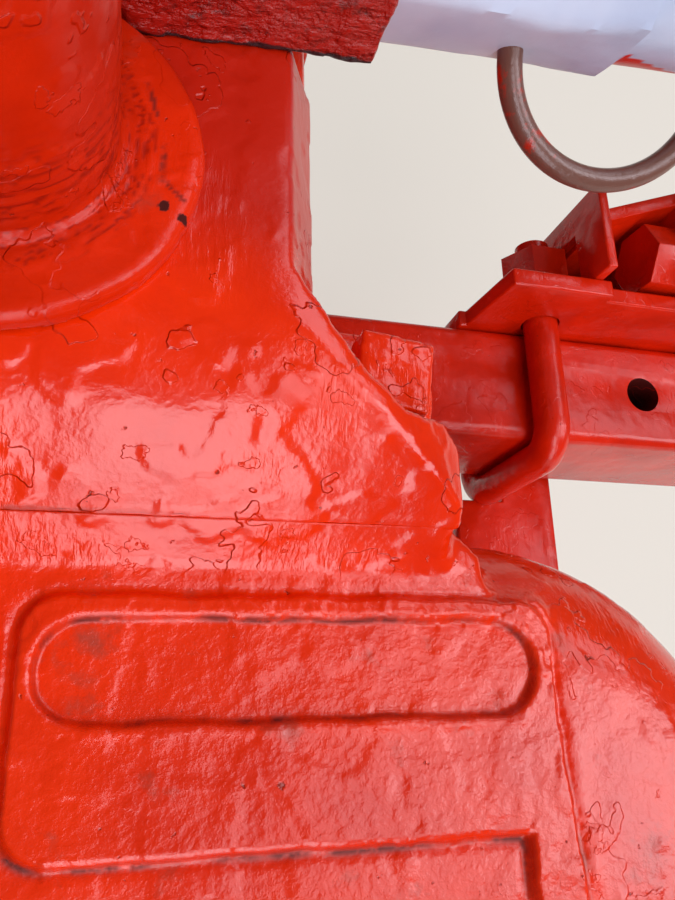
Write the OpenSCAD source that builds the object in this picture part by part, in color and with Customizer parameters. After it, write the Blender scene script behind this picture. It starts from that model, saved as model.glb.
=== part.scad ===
// Tractor gearbox housing with lever tower, cross tube and side toolbar.
// Millimetres. X is across the tractor, Y points forward, Z is up, Z = 0 is the floor.

/* [Rear housing] */
// height of the housing's flat top above the floor
deck_z = 300; // [260:1:340]
// distance from the middle to each round end's centre
end_x = 90; // [70:1:110]
// outer radius of the round ends
end_r = 58; // [50:1:70]
// radius of the rounded top edge
top_edge_r = 24; // [10:1:30]
// Y of the rear housing's middle, where the axle is
axle_y = -90; // [-110:1:-80]
// height of the axle above the floor
axle_z = 100; // [80:1:120]

/* [Gearbox] */
// half width of the gearbox
box_half_w = 54; // [48:1:60]
// front end of the gearbox
box_front = 160; // [140:1:200]
// thickness of the front flange
front_flange_t = 14; // [10:1:20]
// radius of the round front flange
front_flange_r = 86; // [80:1:90]
// bolt circle of the front flange
front_pcd = 150; // [144:1:156]
// radius of the front flange's holes
front_hole_r = 6.5; // [4:0.5:7]
// height of the input shaft
input_z = 150; // [140:1:170]
// height of the rim that carries the lever cover
rim_h = 8; // [4:1:14]
// half width of the rim
rim_half_w = 78; // [70:1:84]
// near edge of the rim and cover
rim_y = -34.5; // [-38:0.5:-30]
// how far the rim's near face runs out on its way down
rim_fall = 6.8; // [5:0.1:9]

/* [Lever cover] */
// rise of the cover's flat deck above the housing's top
cover_rise = 23; // [18:1:30]
// far edge of the cover
cover_back = 47; // [45:1:50]
// half width of the cover's neck at the joint
neck_half_w = 52; // [46:1:56]
// how far the neck's sides lean in on their way up
neck_lean = 7; // [4:0.5:9]
// radius of the rounded near shoulder
shoulder_r = 42.7; // [36:0.1:60]
// Y where the shoulder meets the deck
shoulder_y = -2; // [-6:1:4]
// far edge of the side lobes
lobe_y = -18; // [-22:0.5:-14]
// half width of the cover's flat before it falls off sideways
cover_flat = 40; // [30:1:48]
// radius of the sideways fall
cover_fall_r = 62; // [56:1:80]

/* [Lever tower] */
// Y of the tower's axis
tower_y = 16.5; // [15:0.5:22]
// radius of the round foot
foot_r = 31; // [26:0.5:34]
// thickness of the round foot
foot_t = 4; // [3:0.5:8]
// radius of the tower
tower_r = 18.4; // [16:0.2:22]
// height of the tower above its foot
tower_h = 70; // [40:1:100]
// radius of the lever rod
lever_r = 8; // [6:0.5:10]
// length of the lever rod
lever_len = 190; // [120:1:240]
// lean of the lever
lever_lean = 8; // [0:1:14]
// radius of the knob
knob_r = 19; // [14:0.5:24]

/* [Cross tube] */
// turn of the plate and tube about the upright axis
rig_turn = 5; // [0:0.5:8]
// Y of the plate's near face at the middle
rig_y = 40.3; // [39:0.1:44]
// half length of the thick plate
plate_half = 61; // [50:1:70]
// thickness of the thick plate
plate_t = 10; // [8:1:14]
// height of the thick plate
plate_h = 40; // [30:1:50]
// distance of the tube's axis behind the plate's near face
tube_back = 35.5; // [32:0.5:40]
// rise of the tube's axis above the housing's top
tube_rise = 23; // [18:1:30]
// radius of the cross tube
tube_r = 17; // [14:0.5:20]
// half length of the cross tube
tube_half = 230; // [180:1:260]
// wall of the sheet sleeves
sleeve_t = 1.5; // [1:0.1:2.5]

/* [Toolbar] */
// width of the bar along Y
bar_w = 40; // [36:1:50]
// height of the bar
bar_h = 48; // [40:1:50]
// Y of the bar's near face
bar_y = 23; // [20:1:26]
// height of the bar's top above the floor
bar_top = 204; // [196:1:212]
// right end of the bar
bar_end = 300; // [260:1:340]
// radius of the bar's long edges
bar_edge = 4; // [2:0.5:6]
// X of the first pin hole
hole_x = 203; // [195:1:210]
// pitch of the pin holes
hole_pitch = 64; // [50:1:80]
// radius of the pin holes
hole_r = 6.5; // [5:0.5:8]
// radius of the U-bolt rod
ubolt_r = 6; // [5:0.5:7]
// X of the U-bolt
ubolt_x = 160; // [155:1:165]

/* [Bracket behind the bar] */
// height of the clamp plate's top above the floor
clamp_top = 234; // [230:1:238]
// thickness of the clamp plate
clamp_t = 6; // [5:0.5:8]
// X of the web's left face
web_x = 167.5; // [166:0.5:170]
// thickness of the web
web_t = 3.5; // [3:0.5:6]
// height of the web's top above the floor
web_top = 242; // [236:1:246]
// far edge of the web
web_far = 101; // [98:1:104]
// width across the big bolt head's flats
big_af = 22; // [19:1:24]
// X of the big bolt head's end face
big_x = 189; // [188:1:194]

/* [Shafts] */
// radius of the drive shafts
drive_r = 17.5; // [14:0.5:22]
// radius of the drive flanges
drive_flange_r = 55; // [45:1:60]
// bolt circle of the drive flanges
drive_pcd = 86; // [70:1:94]
// radius of the input shaft
input_r = 14; // [12:0.5:18]
// radius of the power take-off shaft
pto_r = 17.45; // [15:0.05:20]
// height of the power take-off shaft
pto_z = 190; // [160:1:215]
// radial clearance of the shafts in their bores
run_gap = 0.05; // [0.02:0.01:0.1]

/* [Hidden] */
$fn = 72;
red = [0.84, 0.12, 0.04];
dark = [0.55, 0.10, 0.06];
steel = [0.55, 0.55, 0.56];
pale = [0.86, 0.87, 0.92];
black = [0.08, 0.08, 0.08];
cover_z = deck_z + cover_rise;
tube_z = deck_z + tube_rise;
rim_z = deck_z + rim_h;
foot_z = cover_z + foot_t;
tower_top = foot_z + tower_h;
bar_bottom = bar_top - bar_h;
bar_far = bar_y + bar_w;
bar_start = box_half_w + 10;
trumpet_end = 210;
trumpet_r = bar_bottom - 8 - axle_z;

module hex(af, h) {
  cylinder(r = af / sqrt(3), h = h, $fn = 6);
}

module along_x(x0, x1, y, z, r) {
  translate([x0, y, z])
    rotate([0, 90, 0])
      cylinder(r = r, h = x1 - x0);
}

module along_y(y0, y1, x, z, r) {
  translate([x, y0, z])
    rotate([-90, 0, 0])
      cylinder(r = r, h = y1 - y0);
}

module end_profile(h) {
  square([end_r, h - top_edge_r]);
  square([end_r - top_edge_r, h]);
  translate([end_r - top_edge_r, h - top_edge_r])
    intersection() {
      circle(r = top_edge_r);
      square([end_r, end_r]);
    }
}

module rear_body(z0) {
  for (s = [-1, 1])
    translate([s * end_x, axle_y, z0])
      rotate_extrude()
        end_profile(deck_z - z0);
  translate([-end_x, axle_y, z0])
    rotate([90, 0, 90])
      linear_extrude(height = 2 * end_x) {
        end_profile(deck_z - z0);
        mirror([1, 0])
          end_profile(deck_z - z0);
      }
}

sump_z = 40;
ear_x = 68.2;
ear_y = -6.3;
ear_z = deck_z - 2;
ear_r = 11.5;
ear_h = 26;
front_ear_y = 120;
corner_cut = 3.5;
band_half_w = 86;
band_y = -32;
rib_t = 8;
flange_h = 9;
flange_w = 12;
sump_front = 146;
cover_r = 40;
pto_cover_r = 30;

module ear_places() {
  for (s = [0, 1])
    mirror([s, 0, 0])
      for (y = [ear_y, front_ear_y])
        translate([ear_x, y, 0])
          children();
}

// plan of the rim's and cover's two side lobes, with cut corners
module lobe_plan(y0) {
  s = rim_half_w;
  c = s - corner_cut;
  polygon([[-s, y0], [s, y0], [s, lobe_y - corner_cut], [c, lobe_y], [-c, lobe_y],
    [-s, lobe_y - corner_cut]]);
}

module sump_flange(z) {
  translate([-box_half_w - flange_w, axle_y, z])
    cube([2 * (box_half_w + flange_w), sump_front - axle_y, flange_h]);
}

module case() {
  color(red)
    difference() {
      union() {
        rear_body(sump_z);
        translate([-box_half_w, axle_y, sump_z])
          cube([2 * box_half_w, box_front - axle_y, deck_z - sump_z]);
        sump_flange(sump_z);
        for (s = [-1, 1], y = [95, 140])
          translate([s * box_half_w - 6, y - rib_t / 2, sump_z])
            cube([12, rib_t, deck_z - sump_z - 20]);
        // seat of the two pads, flat up to the band
        translate([-pad_x1, axle_y, deck_z - 20])
          cube([2 * pad_x1, pad_y1 - axle_y + 1, 20]);
        // flat ground between the pads and the rim
        translate([0, 0, deck_z - 34])
          linear_extrude(height = 34)
            polygon([[-band_half_w, pad_y1], [band_half_w, pad_y1], [band_half_w, band_y - 6],
              [rim_half_w, band_y], [-rim_half_w, band_y], [-band_half_w, band_y - 6]]);
        translate([0, 0, deck_z - 34])
          linear_extrude(height = 34 + rim_h)
            lobe_plan(rim_y);
        // the rim's near face goes on down in line with the cover's shoulder
        translate([-rim_half_w, 0, 0])
          rotate([90, 0, 90])
            linear_extrude(height = 2 * rim_half_w)
              polygon([[rim_y + 2, deck_z - 2], [rim_y - rim_fall, deck_z - 2],
                [rim_y - rim_fall, deck_z], [rim_y, rim_z], [rim_y + 2, rim_z]]);
        translate([0, 0, ear_z])
          linear_extrude(height = rim_z - ear_z)
            cover_plan();
        ear_places() {
          translate([0, 0, ear_z - ear_h])
            cylinder(r = ear_r, h = ear_h);
          translate([box_half_w - ear_x - 6, -ear_r, ear_z - ear_h])
            cube([ear_x - box_half_w + 6, 2 * ear_r, ear_h]);
        }
        translate([0, box_front, input_z])
          rotate([-90, 0, 0])
            cylinder(r = front_flange_r, h = front_flange_t);
      }
      along_y(box_front - 60, box_front + front_flange_t + 1, 0, input_z, cover_r);
      for (a = [30:60:330])
        translate([0, box_front - 16, input_z])
          rotate([-90, 0, 0])
            rotate([0, 0, a])
              translate([front_pcd / 2, 0, 0])
                cylinder(r = front_hole_r, h = front_flange_t + 17);
      along_y(axle_y - end_r - 1, axle_y - 10, 0, pto_z, pto_cover_r);
      for (s = [-1, 1])
        along_x(s > 0 ? end_x : -end_x - end_r - 1, s > 0 ? end_x + end_r + 1 : -end_x,
          axle_y, axle_z, trumpet_r);
      ear_places()
        translate([0, 0, ear_z - 40])
          cylinder(r = 6, h = 41);
    }
}

module sump() {
  color(red)
    difference() {
      union() {
        rear_body_flat(sump_z);
        translate([-box_half_w, axle_y, 0])
          cube([2 * box_half_w, box_front - axle_y, sump_z]);
        sump_flange(sump_z - flange_h);
      }
      translate([0, 60, -1])
        cylinder(r = 10, h = 20);
    }
}

module rear_body_flat(h) {
  for (s = [-1, 1])
    translate([s * end_x, axle_y, 0])
      cylinder(r = end_r, h = h);
  translate([-end_x, axle_y - end_r, 0])
    cube([2 * end_x, 2 * end_r, h]);
}

pad_x0 = 9;
pad_x1 = 97.5;
pad_y0 = -84;
pad_y1 = -46.4;
pad_t = 2;
pad_r = 6.5;
pocket_t = 1.4;

module round_rect(x0, y0, x1, y1, r) {
  translate([x0 + r, y0])
    square([x1 - x0 - 2 * r, y1 - y0]);
  translate([x0, y0 + r])
    square([x1 - x0, y1 - y0 - 2 * r]);
  for (x = [x0 + r, x1 - r], y = [y0 + r, y1 - r])
    translate([x, y])
      circle(r = r);
}

module number_pad() {
  color(red)
    translate([0, 0, deck_z])
      difference() {
        linear_extrude(height = pad_t) {
          round_rect(pad_x0, pad_y0, pad_x1, pad_y1, pad_r);
          round_rect(pad_x1 - 7.5, pad_y0 - 20, pad_x1 + 1, pad_y0 + 12, 3);
        }
        translate([0, 0, pad_t - pocket_t])
          linear_extrude(height = 2)
            round_rect(11.5, -65.5, 94, -50, 7.5);
      }
}

module plain_pad() {
  color(red)
    translate([0, 0, deck_z])
      linear_extrude(height = pad_t)
        round_rect(-pad_x1, pad_y0, pad_x0 - 3.5, pad_y1, pad_r);
}

module cover_plan() {
  n = neck_half_w;
  polygon([[n + 14, lobe_y], [n + 6.5, lobe_y + 5], [n, lobe_y + 12.5], [n, cover_back],
    [-n, cover_back], [-n, lobe_y + 12.5], [-n - 6.5, lobe_y + 5], [-n - 14, lobe_y]]);
  lobe_plan(rim_y);
}

neck_turn_y = lobe_y + 22;

// plan of the near part, whose sides stand upright
module shoulder_plan() {
  w = rim_half_w + 1;
  n = neck_half_w + 6.5;
  r = neck_half_w - neck_lean;
  y = lobe_y + 5;
  polygon([[-w, rim_y - 1], [w, rim_y - 1], [w, y], [n, y], [r, neck_turn_y],
    [-r, neck_turn_y], [-n, y], [-w, y]]);
}

module neck_section() {
  n = neck_half_w;
  r = neck_half_w - neck_lean;
  polygon([[-n, rim_z - 1], [n, rim_z - 1], [n, rim_z + 2], [r, cover_z + 1],
    [-r, cover_z + 1], [-n, rim_z + 2]]);
}

module lever_cover() {
  color(red)
    intersection() {
      translate([0, 0, rim_z])
        linear_extrude(height = 40)
          cover_plan();
      union() {
        along_x(-100, 100, shoulder_y, cover_z - shoulder_r, shoulder_r);
        translate([-100, shoulder_y, cover_z - shoulder_r])
          cube([200, 100, shoulder_r]);
      }
      union() {
        for (x = [-cover_flat, cover_flat])
          along_y(-60, 60, x, cover_z - cover_fall_r, cover_fall_r);
        translate([-cover_flat, -60, cover_z - cover_fall_r])
          cube([2 * cover_flat, 120, cover_fall_r]);
      }
      union() {
        // the neck's sides lean in behind the lobes
        translate([0, cover_back + 1, 0])
          rotate([90, 0, 0])
            linear_extrude(height = cover_back + 1 - lobe_y)
              neck_section();
        translate([0, 0, rim_z - 1])
          linear_extrude(height = 60)
            shoulder_plan();
      }
    }
}

fillet_r = 2;
journal_step = 3;

module lever_tower() {
  color(red)
    translate([0, tower_y, cover_z])
      rotate_extrude() {
        square([foot_r - 2, foot_t]);
        square([foot_r, foot_t - 2]);
        translate([foot_r - 2, foot_t - 2])
          circle(r = 2);
        square([tower_r, foot_t + tower_h]);
        difference() {
          square([tower_r + fillet_r, foot_t + fillet_r]);
          translate([tower_r + fillet_r, foot_t + fillet_r])
            circle(r = fillet_r);
        }
      }
}

module tower_cap() {
  color(red)
    translate([0, tower_y, tower_top])
      difference() {
        union() {
          cylinder(r = tower_r + 3, h = 12);
          translate([0, 0, 12])
            cylinder(r1 = tower_r + 3, r2 = 12, h = 12);
        }
        rotate([0, lever_lean, 0])
          cylinder(r = lever_r, h = 60);
      }
}

module gear_lever() {
  color(steel)
    translate([0, tower_y, tower_top])
      intersection() {
        rotate([0, lever_lean, 0])
          cylinder(r = lever_r, h = lever_len);
        translate([-100, -100, 0])
          cube([200, 200, 400]);
      }
}

module knob() {
  color(black)
    translate([0, tower_y, tower_top])
      rotate([0, lever_lean, 0])
        translate([0, 0, lever_len + knob_r - 6])
          difference() {
            sphere(r = knob_r);
            translate([0, 0, -knob_r - 6])
              cylinder(r = lever_r, h = 12);
          }
}

module in_rig() {
  translate([0, rig_y, 0])
    rotate([0, 0, rig_turn])
      children();
}

module thick_plate() {
  color(dark)
    difference() {
      in_rig()
        translate([-plate_half, 0, cover_z])
          cube([2 * plate_half, plate_t, plate_h]);
      translate([0, tower_y, cover_z - 1])
        cylinder(r = foot_r + 0.5, h = foot_t + 1.3);
    }
}

block_half = 47;

module tube_block() {
  color(red)
    difference() {
      in_rig()
        translate([-block_half, plate_t, deck_z])
          cube([2 * block_half, 2 * (tube_back - plate_t), 50]);
      in_rig()
        along_x(-100, 100, tube_back, tube_z, tube_r);
      translate([-100, 0, deck_z - 1])
        cube([200, cover_back, rim_h + 40]);
    }
}

module cross_tube() {
  color(red)
    in_rig()
      difference() {
        along_x(-tube_half, tube_half, tube_back, tube_z, tube_r);
        in_loop()
          loop_legs(pipe_r);
      }
}

near_sleeve_x = 51;
near_sleeve_end = 122;
far_sleeve_x = 108;

module sleeve(x0, x1, r) {
  translate([x0, tube_back, tube_z])
    rotate([0, 90, 0])
      difference() {
        cylinder(r = r + sleeve_t, h = x1 - x0);
        translate([0, 0, -1])
          cylinder(r = r, h = x1 - x0 + 2);
      }
}

module sleeves_near() {
  color(pale)
    in_rig()
      difference() {
        for (s = [0, 1])
          mirror([s, 0, 0])
            sleeve(near_sleeve_x, near_sleeve_end, tube_r + sleeve_t);
        in_loop()
          loop_legs(pipe_r + 0.5);
      }
}

module sleeves_far() {
  color(pale)
    in_rig()
      difference() {
        for (s = [0, 1])
          mirror([s, 0, 0])
            sleeve(far_sleeve_x, tube_half - 6, tube_r);
        in_loop()
          loop_legs(pipe_r + 0.5);
      }
}

pipe_r = 3.2;

loop_x = 124;
loop_tilt = 35;
loop_bend = 26;
loop_drop = 17.5;

module in_loop() {
  translate([loop_x, tube_back, tube_z])
    rotate([loop_tilt, 0, 0])
      children();
}

module loop_legs(r) {
  for (s = [-1, 1])
    along_y(-loop_drop - (r > pipe_r ? 8 : 0), -tube_r + 5, s * loop_bend, 0, r);
}

module bent_pipe() {
  color(dark)
    in_rig()
      in_loop() {
        loop_legs(pipe_r);
        translate([0, -loop_drop, 0])
          rotate([0, 0, 180])
            rotate_extrude(angle = 180)
              translate([loop_bend, 0])
                circle(r = pipe_r);
      }
}

module bar_section() {
  round_rect(bar_y, bar_bottom, bar_far, bar_top, bar_edge);
}

module toolbar() {
  color(red)
    difference() {
      translate([bar_start, 0, 0])
        rotate([90, 0, 90])
          linear_extrude(height = bar_end - bar_start)
            bar_section();
      translate([strap_x1 - 12, bar_y + bar_w / 2, bar_bottom - 1])
        cylinder(r = 5, h = 11);
      for (x = [hole_x, hole_x + hole_pitch])
        translate([x, bar_y + bar_w / 2, bar_bottom - 1])
          cylinder(r = hole_r, h = bar_h + 2);
    }
}

module bar_mount() {
  color(red)
    translate([box_half_w, bar_y - 20, bar_bottom - 18])
      cube([10, bar_w + 40, bar_h + 36]);
}

module bar_mount_bolts() {
  color(red)
    for (y = [bar_y - 10, bar_far + 10], z = [bar_bottom - 8, bar_top + 8])
      translate([box_half_w + 10, y, z])
        rotate([0, 90, 0])
          hex(13, 6);
}

clamp_bottom = 135;
clamp_right = 232;
clamp_lean = 3;

module clamp_plate() {
  color(red)
    difference() {
      translate([0, bar_far + clamp_t, 0])
        rotate([90, 0, 0])
          linear_extrude(height = clamp_t)
            polygon([[ubolt_x - 28, clamp_bottom], [clamp_right, clamp_bottom],
              [clamp_right, clamp_top - 4], [web_x + web_t + 3, clamp_top - 4],
              [web_x + web_t + 3, clamp_top], [ubolt_x - 22.4, clamp_top],
              [ubolt_x - 22.4 - clamp_lean, bar_top], [ubolt_x - 28, bar_top]]);
      for (z = [bar_top + ubolt_r, bar_bottom - ubolt_r])
        along_y(bar_far - 1, bar_far + 10, ubolt_x, z, ubolt_r + 0.5);
    }
}

module clamp_web() {
  color(red)
    translate([web_x, bar_far + clamp_t, clamp_bottom + 15])
      difference() {
        cube([web_t, web_far - bar_far - clamp_t, web_top - clamp_bottom - 15]);
        // room for the nuts of the U-bolt
        for (z = [bar_top + ubolt_r, bar_bottom - ubolt_r])
          translate([-1, -1, z - clamp_bottom - 15 - 16])
            cube([web_t + 2, 22, 32]);
      }
}

lug_x = big_x + 14;
lug_t = 7;
big_y = 82;
big_z = 228.5;
big_r = 8;

module rear_plate() {
  color(red) {
    translate([0, 0, clamp_bottom + 15])
      linear_extrude(height = web_top - 4 - clamp_bottom - 15)
        polygon([[web_x + web_t, 88.5], [lug_x, web_far], [lug_x, web_far + 5],
          [web_x + web_t, 93.5]]);
    translate([lug_x, bar_far + clamp_t, clamp_bottom + 15])
      difference() {
        cube([lug_t, web_far + 5 - bar_far - clamp_t, web_top - clamp_bottom - 12]);
        translate([-1, big_y - bar_far - clamp_t, big_z - clamp_bottom - 15])
          rotate([0, 90, 0])
            cylinder(r = big_r, h = lug_t + 2);
      }
  }
}

module big_bolt() {
  color(steel) {
    along_x(lug_x - 1, lug_x + lug_t + 20, big_y, big_z, big_r);
    for (x = [big_x, lug_x + lug_t])
      translate([x, big_y, big_z])
        rotate([0, 90, 0])
          rotate([0, 0, 4])
            hex(big_af, lug_x - big_x);
  }
}

ubolt_end = 94;
ubolt_bend = bar_edge + ubolt_r;

module u_bolt() {
  color(steel)
    translate([ubolt_x, 0, 0]) {
      along_y(bar_y + bar_edge, ubolt_end, 0, bar_top + ubolt_r, ubolt_r);
      along_y(bar_y + bar_edge, ubolt_end, 0, bar_bottom - ubolt_r, ubolt_r);
      translate([0, bar_y - ubolt_r, bar_bottom + bar_edge])
        cylinder(r = ubolt_r, h = bar_h - 2 * bar_edge);
      // a quarter bend around each near edge of the bar
      for (s = [[bar_top - bar_edge, 180], [bar_bottom + bar_edge, 270]])
        translate([0, bar_y + bar_edge, s[0]])
          rotate([0, 90, 0])
            rotate([0, 0, s[1]])
              rotate_extrude(angle = 90)
                translate([ubolt_bend, 0])
                  circle(r = ubolt_r);
    }
}

nut_af = 22;

module u_bolt_nuts() {
  color(steel)
    for (z = [bar_top + ubolt_r, bar_bottom - ubolt_r])
      translate([ubolt_x, bar_far + clamp_t, z])
        rotate([-90, 0, 0])
          difference() {
            union() {
              cylinder(r = nut_af / 2 + 3, h = 3);
              hex(nut_af, 19);
            }
            translate([0, 0, -1])
              cylinder(r = ubolt_r, h = 30);
          }
}

strap_x0 = 148;
strap_x1 = 190;
strap_t = 8;
strap_y0 = axle_y - 14;
strap_notch_y = 10;

module strap() {
  color(red)
    translate([0, 0, bar_bottom - strap_t])
      linear_extrude(height = strap_t)
        difference() {
          polygon([[strap_x0, strap_y0], [strap_x1, strap_y0], [strap_x1, bar_far - 8],
            [ubolt_x + ubolt_r + 2, bar_far - 8], [ubolt_x + ubolt_r + 2, strap_notch_y],
            [strap_x0, strap_notch_y]]);
          for (y = [axle_y, bar_y + bar_w / 2])
            translate([strap_x1 - 12, y])
              circle(r = 5);
        }
}

module strap_bolts() {
  color(steel)
    for (y = [axle_y, bar_y + bar_w / 2])
      translate([strap_x1 - 12, y, 0]) {
        translate([0, 0, y > 0 ? bar_bottom - strap_t - 6.5 : bar_bottom])
          hex(17, 6.5);
        translate([0, 0, bar_bottom - strap_t - 12])
          cylinder(r = 5, h = 30);
      }
}

head_w = 14;
head_turn = -8;

module ear_bolts() {
  color(red)
    ear_places() {
      translate([0, 0, ear_z])
        rotate([0, 0, head_turn])
          translate([-head_w / 2, -head_w / 2, 0])
            cube([head_w, head_w, 9]);
      translate([0, 0, ear_z - 35])
        cylinder(r = 6, h = 36);
    }
}

module sump_bolts() {
  color(red)
    for (s = [-1, 1], y = [-10, 30, 70, 120])
      translate([s * (box_half_w + flange_w / 2), y, sump_z + flange_h])
        hex(10, 6);
}

module trumpet() {
  difference() {
    union() {
      along_x(end_x + 10, trumpet_end, axle_y, axle_z, trumpet_r);
      along_x(trumpet_end - 12, trumpet_end, axle_y, axle_z, trumpet_r + 10);
      translate([strap_x0, strap_y0, axle_z])
        cube([strap_x1 - strap_x0, 28, trumpet_r]);
    }
    translate([strap_x1 - 12, axle_y, axle_z + trumpet_r - 12])
      cylinder(r = 5, h = 13);
    along_x(trumpet_end - 40, trumpet_end + 1, axle_y, axle_z, drive_r + run_gap);
  }
}

module right_trumpet() {
  color(red)
    trumpet();
}

module left_trumpet() {
  color(red)
    mirror([1, 0, 0])
      trumpet();
}

module drive() {
  difference() {
    union() {
      along_x(trumpet_end - 38, trumpet_end + 20, axle_y, axle_z, drive_r);
      along_x(trumpet_end + 6, trumpet_end + 18, axle_y, axle_z, drive_flange_r);
      along_x(trumpet_end + 18, trumpet_end + 26, axle_y, axle_z, 30);
    }
    for (a = [0:72:288])
      translate([trumpet_end, axle_y, axle_z])
        rotate([0, 90, 0])
          rotate([0, 0, a])
            translate([drive_pcd / 2, 0, 0])
              cylinder(r = 6.5, h = 40);
  }
}

module right_drive() {
  color(steel)
    drive();
}

module left_drive() {
  color(steel)
    mirror([1, 0, 0])
      drive();
}

module input_cover() {
  color(red)
    difference() {
      along_y(box_front - 50, box_front, 0, input_z, cover_r);
      along_y(box_front - 51, box_front + 1, 0, input_z, input_r + journal_step + run_gap);
    }
}

module input_shaft() {
  color(steel) {
    along_y(box_front - 48, box_front + front_flange_t, 0, input_z, input_r + journal_step);
    along_y(box_front + front_flange_t, box_front + 70, 0, input_z, input_r);
  }
}

module pto_cover() {
  color(red)
    difference() {
      union() {
        along_y(axle_y - end_r, axle_y - end_r + 40, 0, pto_z, pto_cover_r);
        along_y(axle_y - end_r - 8, axle_y - end_r, 0, pto_z, pto_cover_r + 12);
      }
      along_y(axle_y - end_r - 9, axle_y - end_r + 41, 0, pto_z,
        pto_r + journal_step + run_gap);
    }
}

module pto_shaft() {
  color(steel) {
    along_y(axle_y - end_r - 14, axle_y - end_r + 38, 0, pto_z, pto_r + journal_step);
    along_y(axle_y - end_r - 90, axle_y - end_r - 14, 0, pto_z, pto_r);
  }
}

module fill_plug() {
  color(steel)
    translate([-box_half_w, 60, 110])
      rotate([0, -90, 0])
        hex(24, 9);
}

module drain_plug() {
  color(steel)
    translate([0, 60, 3])
      cylinder(r = 10, h = 16);
}

case();
sump();
number_pad();
plain_pad();
lever_cover();
lever_tower();
tower_cap();
gear_lever();
knob();
thick_plate();
tube_block();
cross_tube();
sleeves_near();
sleeves_far();
bent_pipe();
toolbar();
bar_mount();
bar_mount_bolts();
clamp_plate();
clamp_web();
rear_plate();
big_bolt();
u_bolt();
u_bolt_nuts();
strap();
strap_bolts();
ear_bolts();
sump_bolts();
right_trumpet();
left_trumpet();
right_drive();
left_drive();
input_shaft();
input_cover();
pto_shaft();
pto_cover();
fill_plug();
drain_plug();
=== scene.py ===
import math

import bmesh
import bpy
import numpy as np
from mathutils import Matrix, Vector, noise


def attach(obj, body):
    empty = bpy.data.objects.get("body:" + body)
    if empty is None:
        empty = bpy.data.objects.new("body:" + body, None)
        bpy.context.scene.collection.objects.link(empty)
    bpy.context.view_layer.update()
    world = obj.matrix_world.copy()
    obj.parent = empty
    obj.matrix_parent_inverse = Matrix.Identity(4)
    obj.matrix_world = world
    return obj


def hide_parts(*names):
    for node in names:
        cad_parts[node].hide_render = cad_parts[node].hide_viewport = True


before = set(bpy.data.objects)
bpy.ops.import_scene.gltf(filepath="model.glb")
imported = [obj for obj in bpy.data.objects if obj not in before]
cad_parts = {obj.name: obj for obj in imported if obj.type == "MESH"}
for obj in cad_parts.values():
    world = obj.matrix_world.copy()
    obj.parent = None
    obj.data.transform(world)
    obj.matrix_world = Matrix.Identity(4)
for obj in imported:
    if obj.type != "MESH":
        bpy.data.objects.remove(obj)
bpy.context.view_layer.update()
scene = bpy.context.scene
MM = 0.001

# The photographer's place.
# The camera is held close above the number pad and looks steeply down and forward, across
# the lever cover to the toolbar. Its place and lens come from the photo's straight lines.

PHOTO_H = 900
FOCAL_PX = 777.7
CAMERA_AT = Vector((22.4, -64.0, 427.0)) * MM
IMAGE_RIGHT = Vector((0.96310, -0.02290, 0.26816))
IMAGE_DOWN = Vector((0.06432, -0.94793, -0.31193))
VIEW_AHEAD = Vector((0.26134, 0.31767, -0.91148))

camera_data = bpy.data.cameras.new("camera")
camera_data.sensor_fit = "AUTO"
camera_data.sensor_width = 36.0
camera_data.lens = camera_data.sensor_width * FOCAL_PX / PHOTO_H
camera_data.clip_start = 0.005
camera = bpy.data.objects.new("camera", camera_data)
turn = Matrix((IMAGE_RIGHT, -IMAGE_DOWN, -VIEW_AHEAD)).transposed()
camera.matrix_world = Matrix.Translation(CAMERA_AT) @ turn.to_4x4()
scene.collection.objects.link(camera)
scene.camera = camera
scene.view_settings.view_transform = "Standard"


# The pale floor and the soft studio light.
# The floor shows nearly white to the camera and in the gloss, and keeps its shadows. Five
# broad panels stand for the parts of an open sky that whiten the flats of the glossy paint.

def colour(text):
    """Turns an sRGB hex value into the linear colour that a shader takes."""
    parts = []
    for i in (0, 2, 4):
        c = int(text[i:i + 2], 16) / 255
        parts.append(c / 12.92 if c <= 0.04045 else ((c + 0.055) / 1.055) ** 2.4)
    return (*parts, 1.0)


def add(material, kind, settings=None, links=None):
    """Adds one node, sets its inputs or properties, and links its inputs."""
    tree = material.node_tree
    made = tree.nodes.new(kind)
    for key, value in (settings or {}).items():
        if isinstance(key, int) or key in made.inputs:
            made.inputs[key].default_value = value
        else:
            setattr(made, key, value)
    for key, source in (links or {}).items():
        tree.links.new(source, made.inputs[key])
    return made


def new_material(name):
    """An empty node material."""
    material = bpy.data.materials.new(name)
    material.use_nodes = True
    material.node_tree.nodes.clear()
    return material


pale_floor = new_material("pale floor")
floor_shade = add(pale_floor, "ShaderNodeBsdfPrincipled",
                  {"Base Color": colour("E6E1D6"), "Roughness": 0.9})
floor_glow = add(pale_floor, "ShaderNodeEmission",
                 {"Color": colour("F0EAE0"), "Strength": 1.0})
rays = add(pale_floor, "ShaderNodeLightPath")
seen = add(pale_floor, "ShaderNodeMath", {"operation": "MAXIMUM"},
           {0: rays.outputs["Is Camera Ray"], 1: rays.outputs["Is Glossy Ray"]})
seen = add(pale_floor, "ShaderNodeMath", {"operation": "MAXIMUM"},
           {0: seen.outputs[0], 1: rays.outputs["Is Transmission Ray"]})
share = add(pale_floor, "ShaderNodeMath", {"operation": "MULTIPLY", 1: 0.6},
            {0: seen.outputs[0]})
both = add(pale_floor, "ShaderNodeMixShader",
           links={0: share.outputs[0], 1: floor_shade.outputs[0], 2: floor_glow.outputs[0]})
add(pale_floor, "ShaderNodeOutputMaterial", links={"Surface": both.outputs[0]})

FLOOR_HALF = 6.0

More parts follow.
